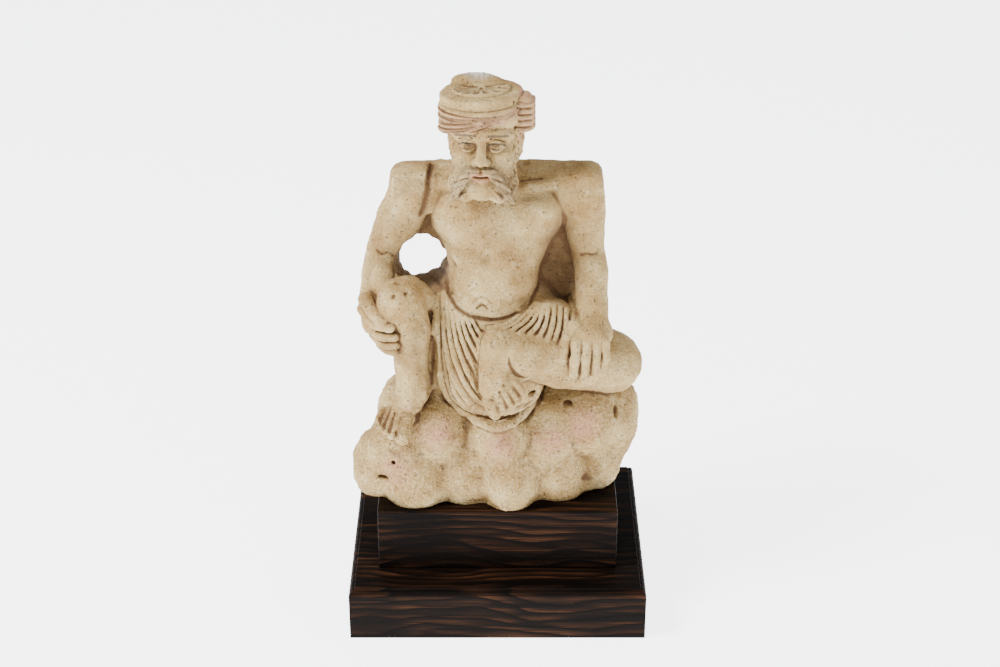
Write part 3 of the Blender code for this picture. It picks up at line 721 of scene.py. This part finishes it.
for height, front, droop, radius in ((328.6, 0.5, 5, 2.8), (324.6, 2, 10, 2.6), (321.2, 4, 14, 2.6),
                                     (318.2, 5.6, 18.5, 2.7)):
    ring(height, front, droop, 30, radius)
    ring(height - 1.9, front, droop + 2, 33, 0.75, 0.3, cut=True)
    ring(height + 0.2, front, droop - 2, 33, 0.6, 0.3, cut=True)
clay.lump((-12.5, -37, 324.5), (6.5, 3.6, 3.8), 1)
for a, b, r in ((-4, 2, 1.8), (1, -2, 2), (4, 1.5, 1.6)):
    clay.lump((-12.5 + a, -41, 324.5 + b), (r, 1.8, r * 0.7), 0.8, cut=True)
clay.lump((18, -11, 324), (9, 11, 14), 1, square=4)
for k in range(5):
    z = 334.5 - 4.8 * k
    crease = [(8, -23.5, z + 2), (20, -23.5, z + 0.6 * (k % 2)), (28.5, -17, z - 0.5), (29, -4, z)]
    pleat = [(12, -21, z - 2.6), (21, -21.6, z - 2.4), (26.4, -15, z - 2.6), (27, -5, z - 2.4)]
    score(through(crease, 5), 1.0, 0.5, -0.2)
    clay.strand(through(pleat, 5), 2.0, 0.7)

# Damage that the real one carries: the arm's repaired break, cracks, the torn web and deep air holes
ARM_HOLE, HOLE_REACH = (-60, 188), (20.5, 24.5)
AIR_HOLES = (((-92, -51, 23), (5, 7, 2.6)), ((-83, -57, 41), (2, 5, 1.8)), ((96, -34, 74), (3.6, 7, 5)),
             ((56, -39, 85), (4.5, 6, 2.4)), ((28, -49, 100), (4, 9, 3.4)), ((24, -14, 283), (3.4, 6, 2.6)),
             ((-76, -51, 198), (3, 2.4, 2)), ((-70, -51, 190), (2, 2, 2)), ((-80, -51, 188), (2, 2, 2.4)))
BREAK = through([(-49, 7, 277), (-52, -6, 269), (-54, -9, 254), (-59, -5, 235)])
ELBOW_CRACKS = (through([(-94, -6, 205), (-90, -6, 202), (-86, -5, 203), (-81, -5, 200)]),
                through([(65, -6, 201), (70, -6, 203), (74, -6, 201.5), (79, -3, 202)]))
score(smoothed(seen(BREAK)), 2.3, 0.8, 0.6)
for crack in ELBOW_CRACKS:
    score(seen(crack), np.linspace(0.9, 0.4, len(crack)), 0.4)
for centre, radii in AIR_HOLES:
    clay.lump(tuple(seen([centre])[0]), radii, 1, cut=True)


def from_hole(x, z):
    """How far out a point is on the way from the arm hole's middle to its oval edge, where it is 1."""
    return np.hypot((x - ARM_HOLE[0]) / HOLE_REACH[0], (z - ARM_HOLE[1]) / HOLE_REACH[1])


spans, (x, y, z) = clay.near((-90, -60, 160), (-30, 61, 222))
turn = np.arctan2(z - ARM_HOLE[1], x - ARM_HOLE[0])
ragged = 1 + 0.05 * np.sin(3 * turn + 1) + 0.035 * np.sin(7 * turn + 0.05 * y)
ragged = ragged + 0.03 * np.sin(13 * turn + 0.2 * y)
hole = (from_hole(x, z) / ragged - 1) * 20
clay.carve(spans, np.maximum(hole, -16 - y).astype(np.float32), 1.5)
clay.lump((-51.5, -40, 118), (4.6, 13, 32), 2, tilt=(0, 3, 0), cut=True)

# The mould's flat underside, and the most that the casting reaches upwards and to either side
MOST_UP, MOST_ASIDE = 343.4, 118.2
clay.field = np.maximum(clay.field, np.maximum(-clay.axes[2], clay.axes[2] - MOST_UP)[None, None, :])
clay.field = np.maximum(clay.field, (np.abs(clay.axes[0]) - MOST_ASIDE)[:, None, None])


def skin(clay):
    """A mesh of the clay's surface. Each cell that the surface passes through gets one point, the mean of
    where it crosses the cell's edges, and each crossed edge joins the points of the four cells round it."""
    f = clay.field
    inside = f < 0
    shape = np.array(f.shape) - 1
    corners = [(i, j, k) for i in (0, 1) for j in (0, 1) for k in (0, 1)]
    count = sum(inside[i:i + shape[0], j:j + shape[1], k:k + shape[2]].astype(np.int8) for i, j, k in corners)
    cells = np.argwhere((count > 0) & (count < 8))
    number = np.full(shape, -1, np.int32)
    number[tuple(cells.T)] = np.arange(len(cells))
    total, hits = np.zeros((len(cells), 3)), np.zeros(len(cells))
    for axis in range(3):
        for u in (0, 1):
            for v in (0, 1):
                start = np.insert([u, v], axis, 0)
                end = np.insert([u, v], axis, 1)
                a, b = f[tuple((cells + start).T)], f[tuple((cells + end).T)]
                cross = (a < 0) != (b < 0)
                t = np.where(cross, a / np.where(cross, a - b, 1), 0)
                total += cross[:, None] * (start + t[:, None] * (end - start))
                hits += cross
    place = cells + total / hits[:, None]
    points = np.stack([np.interp(place[:, i], np.arange(len(axis)), axis)
                       for i, axis in enumerate(clay.axes)], 1)
    quads = []
    for axis in range(3):
        lead = [slice(1, -1)] * 3
        lead[axis] = slice(0, -1)
        following = list(lead)
        following[axis] = slice(1, None)
        a, b = inside[tuple(lead)], inside[tuple(following)]
        at = np.argwhere(a != b) + np.where(np.arange(3) == axis, 0, 1)
        u, v = np.eye(3, dtype=int)[(axis + 1) % 3], np.eye(3, dtype=int)[(axis + 2) % 3]
        loop = np.stack([number[tuple((at - d).T)] for d in (u + v, v, 0 * u, u)], 1)
        leaving = a[a != b]
        quads.append(np.where(leaving[:, None], loop, loop[:, ::-1]))
    return points, np.concatenate(quads)


def main_shell(points, quads):
    """Only the outer surface: every point takes the lowest number that it shares a face with until none
    changes, and the largest group stays."""
    label = np.arange(len(points))
    while True:
        lower = label.copy()
        np.minimum.at(lower, quads.ravel(), np.repeat(label[quads].min(1), 4))
        lower = lower[lower]
        if (lower == label).all():
            break
        label = lower
    names, sizes = np.unique(label, return_counts=True)
    keep = label == names[sizes.argmax()]
    index = np.cumsum(keep) - 1
    return points[keep], index[quads[keep[quads[:, 0]]]]


def unevenness(points, size, seed):
    """Smooth noise: random heights on a lattice of that size in mm, eased between its eight corners."""
    heights = np.random.default_rng(seed).normal(size=(64, 64, 64))
    place = points / size + 500
    cell = np.floor(place).astype(int)
    part = place - cell
    part = part * part * (3 - 2 * part)
    total = 0
    for corner in ((i, j, k) for i in (0, 1) for j in (0, 1) for k in (0, 1)):
        weight = np.prod(np.where(corner, part, 1 - part), axis=1)
        total = total + weight * heights[tuple(((cell + corner) % 64).T)]
    return total


def outward(points):
    """The way out of the clay at each point: the field's change over 0.8 mm to either side along each axis,
    brought to length one."""
    slope = np.stack([clay.sample(clay.field, points + d) - clay.sample(clay.field, points - d)
                      for d in np.eye(3) * 0.8], 1)
    return slope / (np.linalg.norm(slope, axis=1, keepdims=True) + 1e-6)


points, quads = main_shell(*skin(clay))
rough = 0.32 * unevenness(points, 11, 1) + 0.22 * unevenness(points, 5, 2) + 0.15 * unevenness(points, 2.2, 3)
on_rock = np.clip((95 - points[:, 2]) / 20, 0, 1)
gentle = np.where((points[:, 2] > 262) & (points[:, 1] < 5), 0.35, 0.8) + 1.0 * on_rock
raised = points[:, 2] > 0.6
knobs = (0.9 * unevenness(points, 17, 4) - 0.5 * np.abs(unevenness(points, 13, 5))) * on_rock
knobs = knobs * (points[:, 1] < 40)
points += outward(points) * ((rough * gentle + knobs) * raised)[:, None]

casting = plain_mesh("casting", points, quads)
CASTING_FACES = 190000
plain = casting.vertex_groups.new(name="plain")
detailed = (points[:, 1] < 0) & (((points[:, 2] > 64) & (points[:, 2] < 185)) | (points[:, 2] > 255))
face = (points[:, 1] < 4) & (points[:, 2] > 262)
plain.add(np.flatnonzero(detailed).tolist(), 0.3, "REPLACE")
plain.add(np.flatnonzero(~detailed).tolist(), 1.0, "REPLACE")
plain.add(np.flatnonzero(face).tolist(), 0.04, "REPLACE")
thin = casting.modifiers.new("thin", "DECIMATE")
thin.ratio = CASTING_FACES / (2 * len(quads))
thin.vertex_group = "plain"
thin.vertex_group_factor = 1.0
bpy.context.view_layer.update()
thinned = bpy.data.meshes.new_from_object(casting.evaluated_get(bpy.context.evaluated_depsgraph_get()))
casting.modifiers.clear()
casting.vertex_groups.clear()
casting.data = thinned
skin_points = np.empty((len(thinned.vertices), 3))
thinned.vertices.foreach_get("co", skin_points.ravel())


def blurred(values, reach):
    """Each point's mean over a cube of points round it, twice over, by differences of running sums."""
    for _ in range(2):
        for axis in range(3):
            margins = [(reach + 1, reach) if a == axis else (0, 0) for a in range(3)]
            padded = np.pad(values, margins, mode="edge")
            total = np.cumsum(padded, axis=axis, dtype=np.float32)
            n = values.shape[axis]
            values = (np.take(total, range(2 * reach + 1, 2 * reach + 1 + n), axis)
                      - np.take(total, range(n), axis)) / (2 * reach + 1)
    return values


# Painted shade and paint are worked out where each point of the skin lay on the clay, before it was made
# uneven
points = skin_points.copy()
for _ in range(2):
    points -= outward(points) * np.clip(clay.sample(clay.field, points), -1, 1)[:, None]
# How enclosed each point is, near and wide: the hollows take painted shade from these
solid = np.clip(0.5 - clay.field / STEP, 0, 1)
tight = clay.sample(blurred(solid, 1), points)
wide = clay.sample(blurred(solid, 5), points)


def patch(places, reach):
    """1 at each place and less with distance, down to 0 at the reach."""
    nearest = np.min([np.linalg.norm(points - place, axis=1) for place in places], axis=0)
    return np.clip(1 - nearest / reach, 0, 1)


# Where the casting is pink, painted with shade (places, reach, strength), crazed or broken off
ROSY = [(-49, -54, 66), (2, -62, 60), (42, -57, 62), (68, -48, 72), (-80, -52, 34)]
# Painted shade in the pocket by the left arm and inside the arm hole, and weaker on the arms' shaded sides,
# the chest under the beard and the right shin
SHADE_PATCHES = (([(44, 10, 200), (46, 2, 182)], 34, 1.6), ([(40, 5, 222)], 27.2, 1.6),
          ([(-60, 6, 178), (-56, 10, 215)], 24, 1.2),
          ([(-92, -4, 212), (-88, -10, 192), (-84, -12, 228), (-8, -30, 246), (-6, -32, 226), (60, -14, 206),
            (-70, -52, 140)], 24, 0.34))
CRAZING = (((-88, 52), (-80, 45), (-66, 40), (-62, 52)), ((24, 58), (26, 42), (34, 30)),
           ((58, 58), (64, 44), (78, 38)), ((-22, 60), (-18, 44)))
BROKEN_TOP = [(-14, 22, 341)]
x, y, z = points.T
u, v, w = (points - HEAD).T
u, v = u * math.cos(TURN) + v * math.sin(TURN), -u * math.sin(TURN) + v * math.cos(TURN)
v, w = v * math.cos(NOD) + w * math.sin(NOD), -v * math.sin(NOD) + w * math.cos(NOD)
front = v < -18
turn = np.arctan2(y - BAND[1], x - BAND[0])
low_edge = 316 + 9 * np.cos(turn) - 5.6 * np.sin(turn)
high_edge = 330 + 2.5 * np.cos(turn) - 0.5 * np.sin(turn)
band = (z > low_edge - 3) & (z < high_edge) & (np.hypot(x - BAND[0], y - BAND[1]) > 28)
knot = (x > 15.5) & (z > 303)
pink = np.maximum(np.where(band | knot, 0.9, 0), patch(ROSY, 19) * 1.5)
side_u = np.abs(u)
brows = front & (np.abs(w - 9.8 + 0.010 * (side_u - 10) ** 2) < 0.95) & (side_u > 4) & (side_u < 20)
lids = front & (np.abs(w - 4.4 + 0.055 * (side_u - 11) ** 2) < 0.8) & (np.abs(side_u - 11) < 7.4)
low_lids = front & (np.abs(w + 1.2 - 0.05 * (side_u - 11) ** 2) < 0.5) & (np.abs(side_u - 11) < 6.6)
from_pupil = np.hypot(side_u - 10.8, w - 1.6)
rings = front & ~lids & ((np.abs(from_pupil - 2.1) < 0.6) | (from_pupil < 1.0))
lines = 0.9 * brows + 1.0 * lids + 0.5 * low_lids + 0.8 * rings
for crack in CRAZING:
    lines = np.maximum(lines, 1.1 * patch(smoothed(laid(through(crack), 0)), 1.3))
lips = front & (side_u < 7.6) & (w < -17.6) & (w > -26) & (v < -31)
tail = np.interp(-w, (15, 19, 26, 34, 46), (4, 10, 15, 19, 25))
tails = front & (w < -14) & (w > -47) & (side_u > 2) & ~lips & (np.abs(side_u - tail) < 6)
beard = (v < 2) & (w < -8) & (w > -48) & (side_u > 12) & (side_u + 0.6 * w > -12) & ~tails
hair = 1.0 * tails + 0.5 * beard
# One mask of darkening: painted shade along scored grooves with the dark of cracks, a darker rim round the
# torn hole, and the painted shade patches
shade_and_crack_mask = np.clip(0.75 - shade_and_crack_lines.sample(shade_and_crack_lines.field, points), 0, 1)
torn = (np.abs(from_hole(x, z) - 1) < 0.13) & (y > -14)
shade_and_crack_patch = np.max([strength * patch(places, reach) for places, reach, strength in SHADE_PATCHES], axis=0)
shade_and_crack_patch = np.max([np.clip(shade_and_crack_patch, 0, 1), 0.8 * shade_and_crack_mask, 0.85 * torn], axis=0)
# Stored together: the two hollow measures, the painted shade with cracks and the fresh break; the paint apart
for name, amounts in (("hollow_shade_crack_break", (tight, wide, shade_and_crack_patch, patch(BROKEN_TOP, 15))),
                      ("paint", (pink, hair, lines, 0.8 * lips))):
    store = thinned.attributes.new(name, "FLOAT_COLOR", "POINT")
    store.data.foreach_set("color", np.stack(amounts, 1).astype(np.float32).ravel())
skin_points[:, 2] += BASE
thinned.vertices.foreach_set("co", (skin_points / 1000).ravel())
thinned.polygons.foreach_set("use_smooth", np.ones(len(thinned.polygons), bool))
thinned.update()

# Its finish: bare ochre plaster, and over it in turn what has worn or faded, painted shade in its hollows and
# grooves with the dark of its cracks, and what has been painted on
OCHRE, PALE_OCHRE, CHALK = (0.365, 0.218, 0.073, 1), (0.575, 0.405, 0.168, 1), (0.665, 0.512, 0.272, 1)
RUBBED, LIGHT_GRAIN, ROSE = (0.655, 0.512, 0.272, 1), (0.760, 0.610, 0.370, 1), (0.520, 0.235, 0.160, 1)
# Next come the white of a fresh break, the dark brown of painted shade and cracks, and dark grain
FRESH, SHADE_AND_CRACK_TINT, DARK_GRAIN = (0.90, 0.89, 0.86, 1), (0.150, 0.080, 0.034, 1), (0.190, 0.105, 0.040, 1)
PORE, HAIR_TINT = (0.130, 0.075, 0.035, 1), (0.165, 0.112, 0.064, 1)
LINE_TINT, LIP_TINT = (0.060, 0.040, 0.030, 1), (0.520, 0.220, 0.140, 1)
plaster = Finish("plaster")


def stored(name):
    """The four amounts that the casting's points carry under a name."""
    colour = plaster.node("ShaderNodeAttribute", {"attribute_name": name}, {}, out="Color")
    parts = [plaster.node("ShaderNodeSeparateColor", {}, {0: colour}, out=part)
             for part in ("Red", "Green", "Blue")]
    return *parts, plaster.node("ShaderNodeAttribute", {"attribute_name": name}, {}, out="Alpha")


tight, wide, shade_and_crack_patch, broken = stored("hollow_shade_crack_break")
pink, hair, lines, lips = stored("paint")
large, middle, fine = plaster.cloud(36, 4, 0.6), plaster.cloud(130, 5, 0.7), plaster.cloud(480, 4, 0.7)
brushed = plaster.cloud(1.0, 3, 0.6, plaster.stretch((420, 420, 110)))
pores = plaster.node("ShaderNodeTexVoronoi", {}, {"Vector": plaster.place, "Scale": 260}, out="Distance")
speck = (1 - pores.above(0.12, 0.24)) * middle.above(0.46, 0.56)
low = 1 - plaster.axis("Z").above(0.185, 0.215)
chalk = (middle * 0.6 + large * 0.4).above(0.52, 0.64) * (1 - tight.above(0.5, 0.62))
rubbed = (0.47 - tight).above(0.0, 0.22) * middle.above(0.3, 0.6)
# Painted shade: dark brown in tight and wide hollows, along the grooves and in the patches, with the dark of
# cracks
shade_and_cracks = (tight.above(0.52, 0.64) * 0.9 + wide.above(0.59, 0.80) * 0.7 + shade_and_crack_patch * (0.6 + middle * 0.5)).held()
sandy = fine.above(0.5, 0.64) * (0.10 + middle.above(0.42, 0.6) * 0.34 + low * 0.26)
colour = plaster.blend(large.above(0.36, 0.64), OCHRE, PALE_OCHRE)
for mask, tint in ((chalk * 0.8, CHALK), (rubbed * 0.55, RUBBED),
                   ((1 - fine).above(0.5, 0.64) * (0.16 + low * 0.16), LIGHT_GRAIN),
                   (pink * middle.above(0.28, 0.62) * 0.7, ROSE), (broken * 0.9, FRESH), (shade_and_cracks, SHADE_AND_CRACK_TINT),
                   (sandy, DARK_GRAIN), (speck * 0.55, PORE),
                   (hair * (0.2 + fine.above(0.3, 0.62) * 0.62), HAIR_TINT),
                   (lines * (0.72 + middle * 0.3), LINE_TINT), (lips * 0.6, LIP_TINT)):
    colour = plaster.blend(mask, colour, tint)
grain = fine * 1.2 + middle * 1.5 + brushed * 0.6 - speck * 1.2
casting.data.materials.clear()
casting.data.materials.append(plaster.finish(Base_Color=colour, Roughness=0.82 + (middle - 0.5) * 0.2,
                                             Specular_IOR_Level=0.2, Normal=plaster.bump(grain, 0.0020, 1.0)))
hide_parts("figure")
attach(casting, "root")
